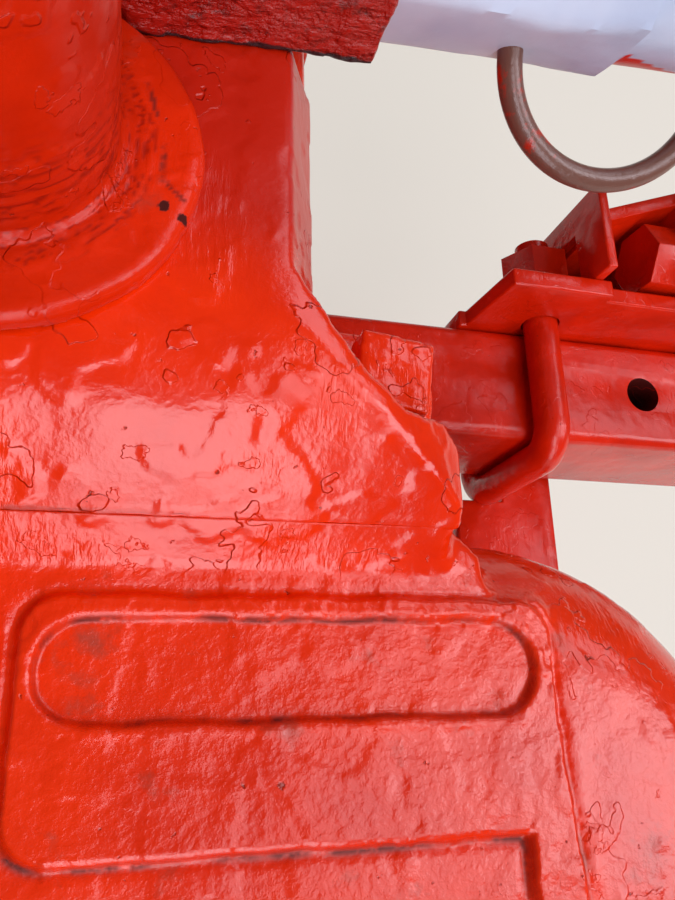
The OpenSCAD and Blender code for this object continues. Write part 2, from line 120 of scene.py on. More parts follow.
floor_mesh = bpy.data.meshes.new("floor")
floor_mesh.from_pydata(
    [(-FLOOR_HALF, -FLOOR_HALF, 0), (FLOOR_HALF, -FLOOR_HALF, 0),
     (FLOOR_HALF, FLOOR_HALF, 0), (-FLOOR_HALF, FLOOR_HALF, 0)],
    [], [(0, 1, 2, 3)])
floor = bpy.data.objects.new("floor", floor_mesh)
floor_mesh.materials.append(pale_floor)
scene.collection.objects.link(floor)

world = bpy.data.worlds.new("studio")
world.use_nodes = True
world.node_tree.nodes["Background"].inputs["Color"].default_value = colour("EEF1F8")
world.node_tree.nodes["Background"].inputs["Strength"].default_value = 0.10
scene.world = world


HOUSING_MIDDLE = Vector((0.0, 0.0, 0.3))


def panel(name, place, size, power, tint="FBF7FF"):
    """A rectangular area lamp, in metres and watts, that faces the housing's middle."""
    lamp = bpy.data.lights.new(name, "AREA")
    lamp.shape = "RECTANGLE"
    lamp.size = size[0]
    lamp.size_y = size[1]
    lamp.energy = power
    lamp.color = colour(tint)[:3]
    holder = bpy.data.objects.new(name, lamp)
    holder.location = place
    facing = HOUSING_MIDDLE - Vector(place)
    holder.rotation_euler = facing.to_track_quat("-Z", "Y").to_euler()
    scene.collection.objects.link(holder)


panel("sky behind the camera", (0.24, -2.25, 2.12), (1.1, 2.5), 51)
panel("low sky behind the camera", (0.22, -2.9, 0.62), (1.0, 0.7), 11)
panel("sky above", (1.1, -0.48, 2.7), (1.45, 1.2), 17)
panel("sky to the right", (2.0, -0.3, 2.15), (1.2, 1.3), 26)
panel("sky ahead", (1.85, 1.4, 2.7), (1.7, 1.1), 18, "F4F4FF")


# The red brush enamel over cast iron.
# Thick gloss oil enamel, laid on by brush over old chipped paint. It is a strong orange red
# with darker spots, soft brush waves, the stepped rims of the old flakes, and pits.

def patchy(material, spot, size, detail, low, high, top=1.0):
    """Noise with lumps of one size, cut between two levels."""
    grain = add(material, "ShaderNodeTexNoise",
                {"Scale": 1 / size, "Detail": detail, "Roughness": 0.6}, {"Vector": spot})
    cut = add(material, "ShaderNodeMapRange",
              {"From Min": low, "From Max": high, "To Max": top},
              {"Value": grain.outputs["Fac"]})
    return cut.outputs["Result"]


def stepped(material, spot, size, detail, low, high, height, normal=None, share=None):
    """A bump of noise cut between two levels, which gives the step at an old flake's rim."""
    grain = add(material, "ShaderNodeTexNoise",
                {"Scale": 1 / size, "Detail": detail, "Roughness": 0.55}, {"Vector": spot})
    step = add(material, "ShaderNodeMapRange",
               {"From Min": low, "From Max": high, "interpolation_type": "SMOOTHSTEP"},
               {"Value": grain.outputs["Fac"]})
    links = {"Height": step.outputs["Result"]}
    if normal:
        links["Normal"] = normal
    if share:
        links["Strength"] = share
    return add(material, "ShaderNodeBump", {"Strength": 1.0, "Distance": height}, links)


# size of the old flakes in metres, and the noise level at their rims
FLAKE_SIZE = 0.016
FLAKE_LEVEL = 0.581


def flake_rims(material, spot):
    """Lines 0.3 mm wide in places along the rims of old flakes, which are 16 mm across."""
    islands = add(material, "ShaderNodeTexNoise",
                  {"Scale": 1 / FLAKE_SIZE, "Detail": 3.5, "Roughness": 0.55},
                  {"Vector": spot})
    away = add(material, "ShaderNodeMath", {"operation": "SUBTRACT", 1: FLAKE_LEVEL},
               {0: islands.outputs["Fac"]})
    away = add(material, "ShaderNodeMath", {"operation": "ABSOLUTE"}, {0: away.outputs[0]})
    line = add(material, "ShaderNodeMapRange", {"From Min": 0.008, "From Max": 0.0},
               {"Value": away.outputs[0]})
    somewhere = patchy(material, spot, 0.011, 2.0, 0.40, 0.58, 0.8)
    return add(material, "ShaderNodeMath", {"operation": "MULTIPLY"},
               {0: line.outputs["Result"], 1: somewhere})


def red_enamel(name, base, dark, old, wave, flake, grit, roughness, shine=0.5):
    """Brush enamel; wave, flake and grit are the heights of its relief in metres."""
    material = new_material(name)
    spot = add(material, "ShaderNodeTexCoord").outputs["Object"]
    # these values are stored on the mesh, and are 0 where there are none
    painted_shade = add(material, "ShaderNodeAttribute", {"attribute_name": "painted_shade"})
    pitted = add(material, "ShaderNodeAttribute", {"attribute_name": "pitted"})
    corners = add(material, "ShaderNodeAttribute", {"attribute_name": "dirt_and_shade"})
    patches = add(material, "ShaderNodeTexNoise",
                  {"Scale": 1 / 0.030, "Detail": 6.0, "Roughness": 0.6}, {"Vector": spot})
    tone = add(material, "ShaderNodeValToRGB", links={"Fac": patches.outputs["Fac"]})
    tone.color_ramp.elements[0].position = 0.30
    tone.color_ramp.elements[0].color = colour(dark)
    tone.color_ramp.elements[1].position = 0.58
    tone.color_ramp.elements[1].color = colour(base)
    # painted shade: where the mesh marks shade, the red turns to the darker colour passed as old
    coat = add(material, "ShaderNodeMix", {"data_type": "RGBA", 7: colour(old)},
               {0: painted_shade.outputs["Fac"], 6: tone.outputs["Color"]})
    # sandy ground where the flat pads are pitted, instead of brush waves
    brushed = add(material, "ShaderNodeMapRange", {"To Min": 1.0, "To Max": 0.08},
                  {"Value": pitted.outputs["Fac"]})
    rim = add(material, "ShaderNodeMath", {"operation": "MULTIPLY"},
              {0: flake_rims(material, spot).outputs[0], 1: brushed.outputs["Result"]})
    coat = add(material, "ShaderNodeMix", {"data_type": "RGBA", 7: colour("B81C02")},
               {0: rim.outputs[0], 6: coat.outputs[2]})
    # grey stains worn into the pitted ground
    stain = add(material, "ShaderNodeMath", {"operation": "MULTIPLY"},
                {0: patchy(material, spot, 0.012, 6.0, 0.58, 0.70, 0.6),
                 1: pitted.outputs["Fac"]})
    coat = add(material, "ShaderNodeMix", {"data_type": "RGBA", 7: colour("8C4436")},
               {0: stain.outputs[0], 6: coat.outputs[2]})
    # brown crumbs of dirt in the corners the mesh marks, which on the pads' feet and the pocket's
    # wall are painted shade as well
    dirt_and_shade = add(material, "ShaderNodeMath", {"operation": "MULTIPLY"},
               {0: corners.outputs["Fac"],
                1: patchy(material, spot, 0.0035, 5.0, 0.30, 0.52)})
    coat = add(material, "ShaderNodeMix", {"data_type": "RGBA", 7: colour("46100A")},
               {0: dirt_and_shade.outputs[0], 6: coat.outputs[2]})
    # specks of dirt under a millimetre across, each in its own small pit
    pit = patchy(material, spot, 0.0026, 3.0, 0.71, 0.77, 0.8)
    coat = add(material, "ShaderNodeMix", {"data_type": "RGBA", 7: colour("7A1C0C")},
               {0: pit, 6: coat.outputs[2]})
    waves = stepped(material, spot, 0.013, 2.0, 0.2, 0.8, wave,
                    share=brushed.outputs["Result"])
    flakes = stepped(material, spot, FLAKE_SIZE, 3.5, FLAKE_LEVEL - 0.006,
                     FLAKE_LEVEL + 0.006, flake, waves.outputs["Normal"],
                     brushed.outputs["Result"])
    rims = stepped(material, spot, 0.0075, 4.0, 0.64, 0.655, flake * 0.6,
                   flakes.outputs["Normal"], brushed.outputs["Result"])
    # brush marks a millimetre apart, in patches
    along = add(material, "ShaderNodeMapping", {"Scale": (1000.0, 190.0, 400.0)},
                {"Vector": spot})
    where = add(material, "ShaderNodeMapRange", {"From Min": 0.50, "From Max": 0.66},
                {"Value": patches.outputs["Fac"]})
    where = add(material, "ShaderNodeMath", {"operation": "MULTIPLY"},
                {0: where.outputs["Result"], 1: brushed.outputs["Result"]})
    strokes = stepped(material, along.outputs["Vector"], 1.0, 3.0, 0.42, 0.66, grit * 1.6,
                      rims.outputs["Normal"], where.outputs[0])
    sandy = add(material, "ShaderNodeMapRange", {"To Min": 0.42},
                {"Value": pitted.outputs["Fac"]})
    peel = stepped(material, spot, 0.0014, 3.0, 0.3, 0.8, grit * 1.3,
                   strokes.outputs["Normal"], sandy.outputs["Result"])
    hole = add(material, "ShaderNodeBump", {"Strength": 1.0, "Distance": -0.00015},
               {"Height": pit, "Normal": peel.outputs["Normal"]})
    # pitted ground, painted shade, and dirt with the shade in corners are each duller than the
    # fresh coat
    gloss = add(material, "ShaderNodeMapRange",
                {"To Min": roughness, "To Max": roughness + 0.06},
                {"Value": pitted.outputs["Fac"]})
    gloss = add(material, "ShaderNodeMath", {"operation": "MULTIPLY_ADD", 1: 0.18},
                {0: painted_shade.outputs["Fac"], 2: gloss.outputs["Result"]})
    dull = add(material, "ShaderNodeMath", {"operation": "MULTIPLY_ADD", 1: 0.5},
               {0: dirt_and_shade.outputs[0], 2: gloss.outputs[0]})
    paint = add(material, "ShaderNodeBsdfPrincipled", {"IOR": 1.5, "Specular IOR Level": shine},
                {"Base Color": coat.outputs[2], "Normal": hole.outputs["Normal"],
                 "Roughness": dull.outputs[0]})
    add(material, "ShaderNodeOutputMaterial", links={"Surface": paint.outputs[0]})
    return material


enamel = red_enamel("brush enamel on cast iron", "EA3000", "D42400", "B41800",
                    0.00016, 0.00026, 0.00005, 0.17)


# The main casting.
# One iron sand casting carries the rear housing, the gearbox, the rim and the two pads. Its
# edges are soft from the sand mould and rounder still under many coats of paint.

def merged(*nodes):
    """Copies of CAD nodes as one working shape with merged corners."""
    shape = bmesh.new()
    for node in nodes:
        shape.from_mesh(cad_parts[node].data)
    bmesh.ops.remove_doubles(shape, verts=shape.verts, dist=0.01 * MM)
    return shape


def placed(name, shape):
    """Puts a working shape into the scene as a piece."""
    mesh = bpy.data.meshes.new(name)
    shape.to_mesh(mesh)
    shape.free()
    piece = bpy.data.objects.new(name, mesh)
    scene.collection.objects.link(piece)
    return piece


def applied(piece):
    """Turns the piece's modifiers into plain mesh."""
    graph = bpy.context.evaluated_depsgraph_get()
    mesh = bpy.data.meshes.new_from_object(piece.evaluated_get(graph))
    piece.modifiers.clear()
    piece.data = mesh
    return piece


def remeshed(piece, voxel, rounds):
    """Gives a piece an even skin of small faces, with edges softened by some rounds."""
    skin = piece.modifiers.new("skin", "REMESH")
    skin.mode = "VOXEL"
    skin.voxel_size = voxel
    soft = piece.modifiers.new("soft", "SMOOTH")
    soft.factor = 0.5
    soft.iterations = rounds
    return applied(piece)


def thinned(piece, ratio, group=""):
    """Takes small faces away, from one vertex group or from the whole piece."""
    fewer = piece.modifiers.new("fewer faces", "DECIMATE")
    fewer.ratio = ratio
    fewer.vertex_group = group
    return applied(piece)


def trimmed(piece, place, outward):
    """Cuts off what lies beyond a plane and closes the cut."""
    shape = bmesh.new()
    shape.from_mesh(piece.data)
    parts = shape.verts[:] + shape.edges[:] + shape.faces[:]
    cut = bmesh.ops.bisect_plane(shape, geom=parts, dist=1e-7, plane_co=place,
                                 plane_no=outward, clear_outer=True)
    rim = [part for part in cut["geom_cut"] if isinstance(part, bmesh.types.BMEdge)]
    bmesh.ops.triangle_fill(shape, edges=rim, use_beauty=False, use_dissolve=False)
    bmesh.ops.recalc_face_normals(shape, faces=shape.faces)
    shape.to_mesh(piece.data)
    shape.free()
    return piece


def points_of(mesh):
    """The mesh's points as rows of x, y and z in metres."""
    flat = np.empty(len(mesh.vertices) * 3)
    mesh.vertices.foreach_get("co", flat)
    return flat.reshape(-1, 3)


def move_points(mesh, points):
    """Gives the mesh's points new places."""
    mesh.vertices.foreach_set("co", points.ravel())
    mesh.update()


def push_out(mesh, heights):
    """Moves each point along its own normal."""
    flat = np.empty(len(mesh.vertices) * 3)
    mesh.vertices.foreach_get("normal", flat)
    move_points(mesh, points_of(mesh) + flat.reshape(-1, 3) * heights[:, None])


def cloud(points, size, octaves, seed):
    """Smooth noise between about -1 and 1 at each point, with lumps of the given size."""
    shift = Vector((seed, seed * 0.7, -seed))
    return np.array([noise.fractal(Vector(p) / size + shift, 0.8, 2.0, octaves)
                     for p in points])


def ramp(values, low, high):
    """Rises softly from 0 to 1 between two values."""
    t = np.clip((values - low) / (high - low), 0.0, 1.0)
    return t * t * (3.0 - 2.0 * t)


def old_flakes(points, size, step, seed):
    """Height of the islands of old paint that show through the new coat."""
    return step * ramp(cloud(points, size, 3, seed), 0.10, 0.13)


def marked(mesh, name, values):
    """Stores a value at each point for the paint to read."""
    mesh.attributes.new(name, "FLOAT", "POINT").data.foreach_set("value", values)


def flat_shaded(piece, limit):
    """Ends the smooth shading at edges sharper than a limit in degrees."""
    piece.data.set_sharp_from_angle(angle=math.radians(limit))
    return piece


def painted(mesh, material):
    """Gives every face of a mesh one finish."""
    mesh.materials.clear()
    mesh.materials.append(material)
    for face in mesh.polygons:
        face.material_index = 0


def finished(piece, material, body, slot, *nodes):
    """Gives the piece its finish and says what it rides on and stands for."""
    painted(piece.data, material)
    for face in piece.data.polygons:
        face.use_smooth = True
    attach(piece, body)
    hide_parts(*nodes)
    return piece


def subdivided(mesh, chosen):
    """Splits each edge between chosen points in two."""
    shape = bmesh.new()
    shape.from_mesh(mesh)
    shape.verts.ensure_lookup_table()
    edges = [e for e in shape.edges if chosen[e.verts[0].index] and chosen[e.verts[1].index]]
    bmesh.ops.subdivide_edges(shape, edges=edges, cuts=1, use_grid_fill=True)
    shape.to_mesh(mesh)
    shape.free()


DECK_Z = 300.0
JOINT_Z = 308.0
UP = Vector((0.0, 0.0, 1.0))
# limits in millimetres of the part of the casting that fills the photograph
SHOWN_X = (-25, 150)
SHOWN_Y = (-100, -14)
SHOWN_Z = 262


def near_top(points):
    """Says which points lie in the part of the casting that fills the photograph."""
    x, y, z = points.T / MM
    across = (x > SHOWN_X[0]) & (x < SHOWN_X[1])
    return across & (y > SHOWN_Y[0]) & (y < SHOWN_Y[1]) & (z > SHOWN_Z)


casting = remeshed(placed("main_casting", merged("case", "lever_cover")), 1.6 * MM, 4)
trimmed(casting, JOINT_Z * MM * UP, UP)
far = casting.vertex_groups.new(name="far")
far_points = np.nonzero(~near_top(points_of(casting.data)))[0]
far.add(far_points.tolist(), 1.0, "REPLACE")
thinned(casting, 0.28, "far")
subdivided(casting.data, near_top(points_of(casting.data)))


def rounded_box(x, y, x0, y0, x1, y1, r):
    """Distance to a rounded rectangle's outline, below zero inside."""
    dx = np.abs(x - (x0 + x1) / 2) - (x1 - x0) / 2 + r
    dy = np.abs(y - (y0 + y1) / 2) - (y1 - y0) / 2 + r
    outside = np.hypot(np.maximum(dx, 0), np.maximum(dy, 0))
    return outside + np.minimum(np.maximum(dx, dy), 0) - r


# corners and corner radius of each outline in millimetres
RIGHT_PAD = (8.6, -83.6, 96.6, -46.2, 6.5)
PAD_LEG = (89.5, -106.0, 97.0, -66.0, 2.5)
LEFT_PAD = (-97.5, -83.6, 4.5, -46.2, 6.5)
POCKET = (10.8, -65.6, 93.2, -49.3, 8.1)


def pad_outlines(points):
    """Distances to the outline of the pads and to that of the pocket, in millimetres."""
    x, y = points.T[:2] / MM
    wander = np.array([noise.noise(Vector((a / 7, b / 7, 3.0))) for a, b in zip(x, y)]) * 0.35
    # the right pad's outer end runs on to the rear as a leg whose outer side leans out
    left, rear, right, front, corner = PAD_LEG
    right = right + np.maximum(-y - 72, 0) * 0.085
    leg = rounded_box(x, y, left, rear, right, front, corner)
    pads = np.minimum(rounded_box(x, y, *RIGHT_PAD), leg)
    pads = np.minimum(pads, rounded_box(x, y, *LEFT_PAD)) + wander
    return pads, rounded_box(x, y, *POCKET) + wander


spots = points_of(casting.data)
pads, pocket = pad_outlines(spots)
on_top = near_top(spots) & (spots[:, 2] > (DECK_Z - 6) * MM)
subdivided(casting.data, on_top & ((np.abs(pads) < 2.2) | (np.abs(pocket) < 2.4)))

PAD_RISE = 2.0 * MM
POCKET_DEPTH = 1.5 * MM
OFF_THE_PADS = 50.0

spots = points_of(casting.data)
pads, pocket = pad_outlines(spots)
up_here = spots[:, 2] > (DECK_Z - 7) * MM
pads = np.where(up_here, pads, OFF_THE_PADS)
pocket = np.where(up_here, pocket, OFF_THE_PADS)
# the ground dips a little along the pads' feet, and the pocket has a low lip
rise = PAD_RISE * (1 - ramp(pads, -0.7, 0.6)) - 0.3 * MM * np.exp(-((pads - 1.2) / 0.7) ** 2)
dip = POCKET_DEPTH * (1 - ramp(pocket, -0.9, 0.2))
lip = 0.2 * MM * np.exp(-((pocket - 0.9) / 0.8) ** 2)
spots[:, 2] += (rise - dip + lip) * ramp(spots[:, 2] / MM, DECK_Z - 7, DECK_Z - 3)
move_points(casting.data, spots)


def sand_cast(points):
    """Uneven surface of the casting with the flakes of old paint on it."""
    lumps = cloud(points, 15 * MM, 2, 3.1) * 0.17 * MM + cloud(points, 4 * MM, 2, 8.7) * 0.025 * MM
    return lumps + old_flakes(points, 13 * MM, 0.17 * MM, 9.0)


def shaped(mesh, heights):
    """Pushes the casting's skin out, but keeps the joint's edge level."""
    before = points_of(mesh)
    on_joint = np.abs(before[:, 2] - JOINT_Z * MM) < 0.01 * MM
    push_out(mesh, heights)
    after = points_of(mesh)
    after[on_joint, 2] = JOINT_Z * MM
    move_points(mesh, after)


grit = (cloud(spots, 1.3 * MM, 2, 4.9) * 0.05 + cloud(spots, 3 * MM, 2, 6.9) * 0.05) * MM
shaped(casting.data, sand_cast(spots) + grit * (1 - ramp(pads, 0.0, 3.0)))
x, y, z = spots.T / MM
# painted shade and dirt lie along the feet of the pads and of the pocket's wall, more in some
# places
pad_foot_shade_and_dirt = np.exp(-((pads - 0.8) / 0.6) ** 2) * ramp(-y, 66.0, 78.0)
pocket_shade_and_dirt = np.exp(-((pocket + 0.5) / 0.5) ** 2)
caught = 0.30 + 0.6 * ramp(cloud(spots, 8 * MM, 2, 2.7), -0.15, 0.35)
marked(casting.data, "dirt_and_shade", np.maximum(pad_foot_shade_and_dirt, pocket_shade_and_dirt) * caught)
# the flat top is pitted all over, and the round end a little
flat_top = ramp(-y, 40.5, 43.0) * ramp(z, DECK_Z - 10, DECK_Z - 6)
flat_top *= ramp(104.0 - x, 0.0, 6.0)
round_end = 0.65 * ramp(x, 98.0, 104.0) * ramp(-y, 50.0, 64.0)
marked(casting.data, "pitted", np.maximum(flat_top, round_end))
finished(casting, enamel, "housing", "case_paint", "case", "number_pad", "plain_pad")
flat_shaded(casting, 60)


# The lever cover.
# A cast lid bolted on the rim. Its rounded near shoulder falls to a hair-thin joint line and
# narrows to a neck with leaning sides. Old paint has flaked off it in islands under the red.

# planes round the cover in metres: a point on each, and the way out
COVER_CUTS = (((0, 0, 0.288), (0, 0, -1)), ((0, -0.058, 0), (0, -1, 0)),
              ((0, 0.06, 0), (0, 1, 0)), ((0.09, 0, 0), (1, 0, 0)),
              ((-0.09, 0, 0), (-1, 0, 0)))

cover = placed("lever_cover_casting", merged("case", "lever_cover"))
for place, outward in COVER_CUTS:
    trimmed(cover, place, outward)
remeshed(cover, 0.72 * MM, 9)
trimmed(cover, (JOINT_Z - 0.5) * MM * UP, -UP)
spots = points_of(cover.data)
x, y, z = spots.T / MM
# the lid's foot stands a hair proud of the rim
push_out(cover.data, sand_cast(spots) + 0.1 * MM * ramp(JOINT_Z + 1.2 - z, 0.0, 1.0))
joint_dirt = np.exp(-((z - JOINT_Z + 0.2) / 0.4) ** 2) * ramp(45.0 - x, 0.0, 60.0)
marked(cover.data, "dirt_and_shade", joint_dirt * ramp(-y, 0.0, 10.0) * 0.8)
# painted shade: the neck is darkened in colour from the shoulder back towards the plate
marked(cover.data, "painted_shade", ramp(y, -6.0, 14.0) * 0.9)
finished(cover, enamel, "housing", "case_paint", "lever_cover")
flat_shaded(cover, 60)


# The lever tower.
# A turned iron column on a round foot that stands on the cover. The brush has left ridges
# round the column's root, and the paint is chipped to dark metal at the foot's edge.

TOWER_Y = 16.5

# x, y and radius of each chip, and the ends of each crack, in millimetres
CHIPS = ((25.4, 7.0, 0.65), (28.3, 5.6, 0.6))
CRACKS = (((22.0, 29.0), (23.6, 23.4)), ((25.0, 18.0), (24.9, 11.5)),
          ((24.9, 11.5), (28.3, 8.4)))

# painted shade: the tower's enamel is a darker copy of the casting's red, so that the column reads
# as lying in shade
tower_enamel = red_enamel("brush enamel on the turned tower", "DA2A04", "BC1E00", "8E1000",
                          0.00030, 0.00020, 0.00004, 0.22, 0.25)

tower = remeshed(placed("tower_casting", merged("lever_tower")), 0.52 * MM, 6)
spots = points_of(tower.data)
x, y, z = spots.T / MM
radius = np.hypot(x, y - TOWER_Y)
angle = np.arctan2(y - TOWER_Y, x)
rings = np.stack([angle * 4.0, radius * 2.6, z * 2.6], axis=1)
root = (1 - ramp(radius, 23.0, 25.0)) * (1 - ramp(z, 338.0, 350.0))
ridges = cloud(rings, 2.4, 3, 2.2)
brushed = (0.5 - np.abs(ridges)) * 0.42 * MM * root
uneven = cloud(spots, 13 * MM, 2, 4.4) * 0.3 * MM
push_out(tower.data, brushed + uneven + old_flakes(spots, 10 * MM, 0.16 * MM, 2.0))
# chips at the foot's right edge and cracks across it hold dark dirt
chips = np.zeros(len(spots))
for chip_x, chip_y, chip_r in CHIPS:
    chips = np.maximum(chips, ramp(chip_r - np.hypot(x - chip_x, y - chip_y), -0.2, 0.2))
for start, end in CRACKS:
    run = np.subtract(end, start)
    part = np.clip(((x - start[0]) * run[0] + (y - start[1]) * run[1]) / (run @ run), 0, 1)
    away = np.hypot(x - start[0] - part * run[0], y - start[1] - part * run[1])
    away += cloud(spots, 1.5 * MM, 2, 1.7) * 0.2
    chips = np.maximum(chips, 0.25 * ramp(0.28 - np.abs(away), -0.15, 0.1))
marked(tower.data, "dirt_and_shade", 3.0 * chips * ramp(z, 324.0, 326.0))
# painted shade: the grooves between the brush ridges, the whole column and the side away from the
# light are darkened in colour
grooves = np.exp(-((np.abs(ridges) - 0.42) / 0.14) ** 2) * root
marked(tower.data, "pitted", 0.6 * ramp(radius, 21.0, 25.0))
column = 1 - ramp(radius, 21.0, 24.0)
shaded_side = np.maximum(0.32 * column, ramp(-x, -16.0, 14.0) * (0.15 + 0.65 * column))
marked(tower.data, "painted_shade", np.maximum(grooves * 0.9, shaded_side))
finished(tower, tower_enamel, "housing", "case_paint", "lever_tower")


# The thick plate behind the tower.
# Flame-cut steel 10 mm thick. Its cut faces are rough with drag lines under a thin coat, and
# the lower edge has lost its paint to dark scale.

# the bare scale ends at this height, or up to the ragged edge's height above it, in metres
SCALE_TOP = 0.3218
RAGGED = 0.0045


def rough_enamel(name):
    """Thin dark red over a torn cut, with bare black scale below a ragged line."""
    material = new_material(name)
    spot = add(material, "ShaderNodeTexCoord").outputs["Object"]
    # drag lines along the face, drawn 1.8 mm apart, as coarse as they need to show
    lines = add(material, "ShaderNodeMapping", {"Scale": (0.35, 0.35, 1.0)},
                {"Vector": spot})
    patches = add(material, "ShaderNodeTexNoise",
                  {"Scale": 1 / 0.004, "Detail": 6.0, "Roughness": 0.7}, {"Vector": spot})
    tone = add(material, "ShaderNodeValToRGB", links={"Fac": patches.outputs["Fac"]})
    tone.color_ramp.elements[0].position = 0.30
    tone.color_ramp.elements[0].color = colour("4A0C08")
    tone.color_ramp.elements[1].position = 0.48
    tone.color_ramp.elements[1].color = colour("A81406")
    height = add(material, "ShaderNodeSeparateXYZ", links={"Vector": spot})
    ragged = add(material, "ShaderNodeTexNoise",
                 {"Scale": 1 / 0.006, "Detail": 5.0}, {"Vector": spot})
    edge = add(material, "ShaderNodeMath",
               {"operation": "MULTIPLY_ADD", 1: -RAGGED},
               {0: ragged.outputs["Fac"], 2: height.outputs["Z"]})
    bare = add(material, "ShaderNodeMapRange",
               {"From Min": SCALE_TOP - 0.0002, "From Max": SCALE_TOP + 0.0002},
               {"Value": edge.outputs[0]})
    mixed = add(material, "ShaderNodeMix", {"data_type": "RGBA", 6: colour("2A2124")},
                {0: bare.outputs["Result"], 7: tone.outputs["Color"]})
    cut = stepped(material, lines.outputs["Vector"], 0.0018, 4.0, 0.3, 0.7, 0.00035)
    pits = stepped(material, spot, 0.0035, 5.0, 0.35, 0.6, 0.0005, cut.outputs["Normal"])
    paint = add(material, "ShaderNodeBsdfPrincipled", {"Roughness": 0.30, "IOR": 1.5},
                {"Base Color": mixed.outputs[2], "Normal": pits.outputs["Normal"]})
    add(material, "ShaderNodeOutputMaterial", links={"Surface": paint.outputs[0]})
    return material


cut_face = rough_enamel("thin enamel on flame-cut steel")
plate = remeshed(placed("flame_cut_plate", merged("thick_plate")), 0.8 * MM, 3)
spots = points_of(plate.data)
push_out(plate.data, cloud(spots, 6 * MM, 3, 7.0) * 0.35 * MM
         + cloud(spots * np.array((0.3, 0.3, 1.0)), 1.6 * MM, 2, 1.0) * 0.12 * MM)
finished(plate, cut_face, "housing", "rough_plate", "thick_plate")


# The tube's block and the cross tube.
# A block behind the plate grips a red tube that crosses the housing. Both are hidden, and are
# painted like the rest.

def bevelled(name, width, node):
    """A copy of a flat-faced CAD part with broken edges, as filed and painted steel has."""
    shape = merged(node)
    bmesh.ops.dissolve_limit(shape, angle_limit=math.radians(1.0), verts=shape.verts,
                             edges=shape.edges)
    sharp = [e for e in shape.edges
             if len(e.link_faces) == 2 and e.calc_face_angle() > math.radians(28)]
    bmesh.ops.bevel(shape, geom=sharp, offset=width * MM, offset_type="OFFSET", segments=2,
                    profile=0.5, affect="EDGES", clamp_overlap=True)
    return placed(name, shape)


# painted shade: this red is darker than the casting's, standing for the shade that the bar,
# bracket and strap lie in
thin_enamel = red_enamel("brush enamel on rolled steel", "D02204", "AC1802", "9C1400",
                         0.0003, 0.00006, 0.00004, 0.24, 0.4)


def from_solid(name, width, node, limit=30, material=thin_enamel, body="housing",
               slot="case_paint"):
    """A CAD part with edges broken by a width in millimetres, finished and shaded."""
    piece = finished(bevelled(name, width, node), material, body, slot, node)
    return flat_shaded(piece, limit)


from_solid("tube_grip", 1.2, "tube_block", 40)
# the shape of this CAD node is right as it is, like that of the U-bolt, lever and drain plug
painted(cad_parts["cross_tube"].data, thin_enamel)


# The sheet sleeves.
# Two rolled steel sheets in pale lilac-white paint lie round the tube, the near one lapped
# over the far one. Their edges are hand cut, the near one is folded, and red has run on the far.

RIG_TURN = math.radians(5.0)
RIG_Y = 40.3
TUBE_BACK = 35.5
TUBE_Z = 323.0
TUBE_R = 17.0
SHEET = 1.5


def in_rig(point):
    """Turns millimetres along, behind and above the thick plate's face into the frame."""
    x, y, z = point
    return Vector((x * math.cos(RIG_TURN) - y * math.sin(RIG_TURN),
                   RIG_Y + x * math.sin(RIG_TURN) + y * math.cos(RIG_TURN), z)) * MM


def pale_paint(name):
    """Satin, cloudy lilac white with a few rust specks, and red where it is marked."""
    material = new_material(name)
    spot = add(material, "ShaderNodeTexCoord").outputs["Object"]
    cloudy = add(material, "ShaderNodeTexNoise",
                 {"Scale": 1 / 0.035, "Detail": 4.0}, {"Vector": spot})
    tone = add(material, "ShaderNodeValToRGB", links={"Fac": cloudy.outputs["Fac"]})
    tone.color_ramp.elements[0].position = 0.35
    tone.color_ramp.elements[0].color = colour("B4C2DA")
    tone.color_ramp.elements[1].position = 0.65
    tone.color_ramp.elements[1].color = colour("D2DEF0")
    specks = add(material, "ShaderNodeTexNoise",
                 {"Scale": 1 / 0.007, "Detail": 8.0, "Roughness": 0.6}, {"Vector": spot})
    rusty = add(material, "ShaderNodeMapRange", {"From Min": 0.70, "From Max": 0.74},
                {"Value": specks.outputs["Fac"]})
    mixed = add(material, "ShaderNodeMix", {"data_type": "RGBA", 7: colour("A0644C")},
                {0: rusty.outputs["Result"], 6: tone.outputs["Color"]})
    red_patch = add(material, "ShaderNodeAttribute", {"attribute_name": "red_patch"})
    red = add(material, "ShaderNodeMapRange", {"From Min": 0.3, "From Max": 0.7},
              {"Value": red_patch.outputs["Fac"]})
    covered = add(material, "ShaderNodeMix", {"data_type": "RGBA", 7: colour("D02008")},
                  {0: red.outputs["Result"], 6: mixed.outputs[2]})
    soft = stepped(material, spot, 0.02, 2.0, 0.2, 0.8, 0.0004)
    peel = stepped(material, spot, 0.002, 3.0, 0.3, 0.8, 0.00003, soft.outputs["Normal"])
    paint = add(material, "ShaderNodeBsdfPrincipled", {"Roughness": 0.35, "IOR": 1.5},
                {"Base Color": covered.outputs[2], "Normal": peel.outputs["Normal"]})
    add(material, "ShaderNodeOutputMaterial", links={"Surface": paint.outputs[0]})
    return material


pale_sheet = pale_paint("pale paint on steel sheet")


def folded(turn_at):
    """How far a fold at 95 degrees flattens the near side, as a share of the radius."""
    for low, high in ((40.0, 95.0), (95.0, 150.0)):
        if low <= math.degrees(turn_at) < high:
            half = math.radians((high - low) / 2)
            middle = math.radians((high + low) / 2)
            return 0.2 + 0.8 * math.cos(half) / math.cos(turn_at - middle)
    return 1.0


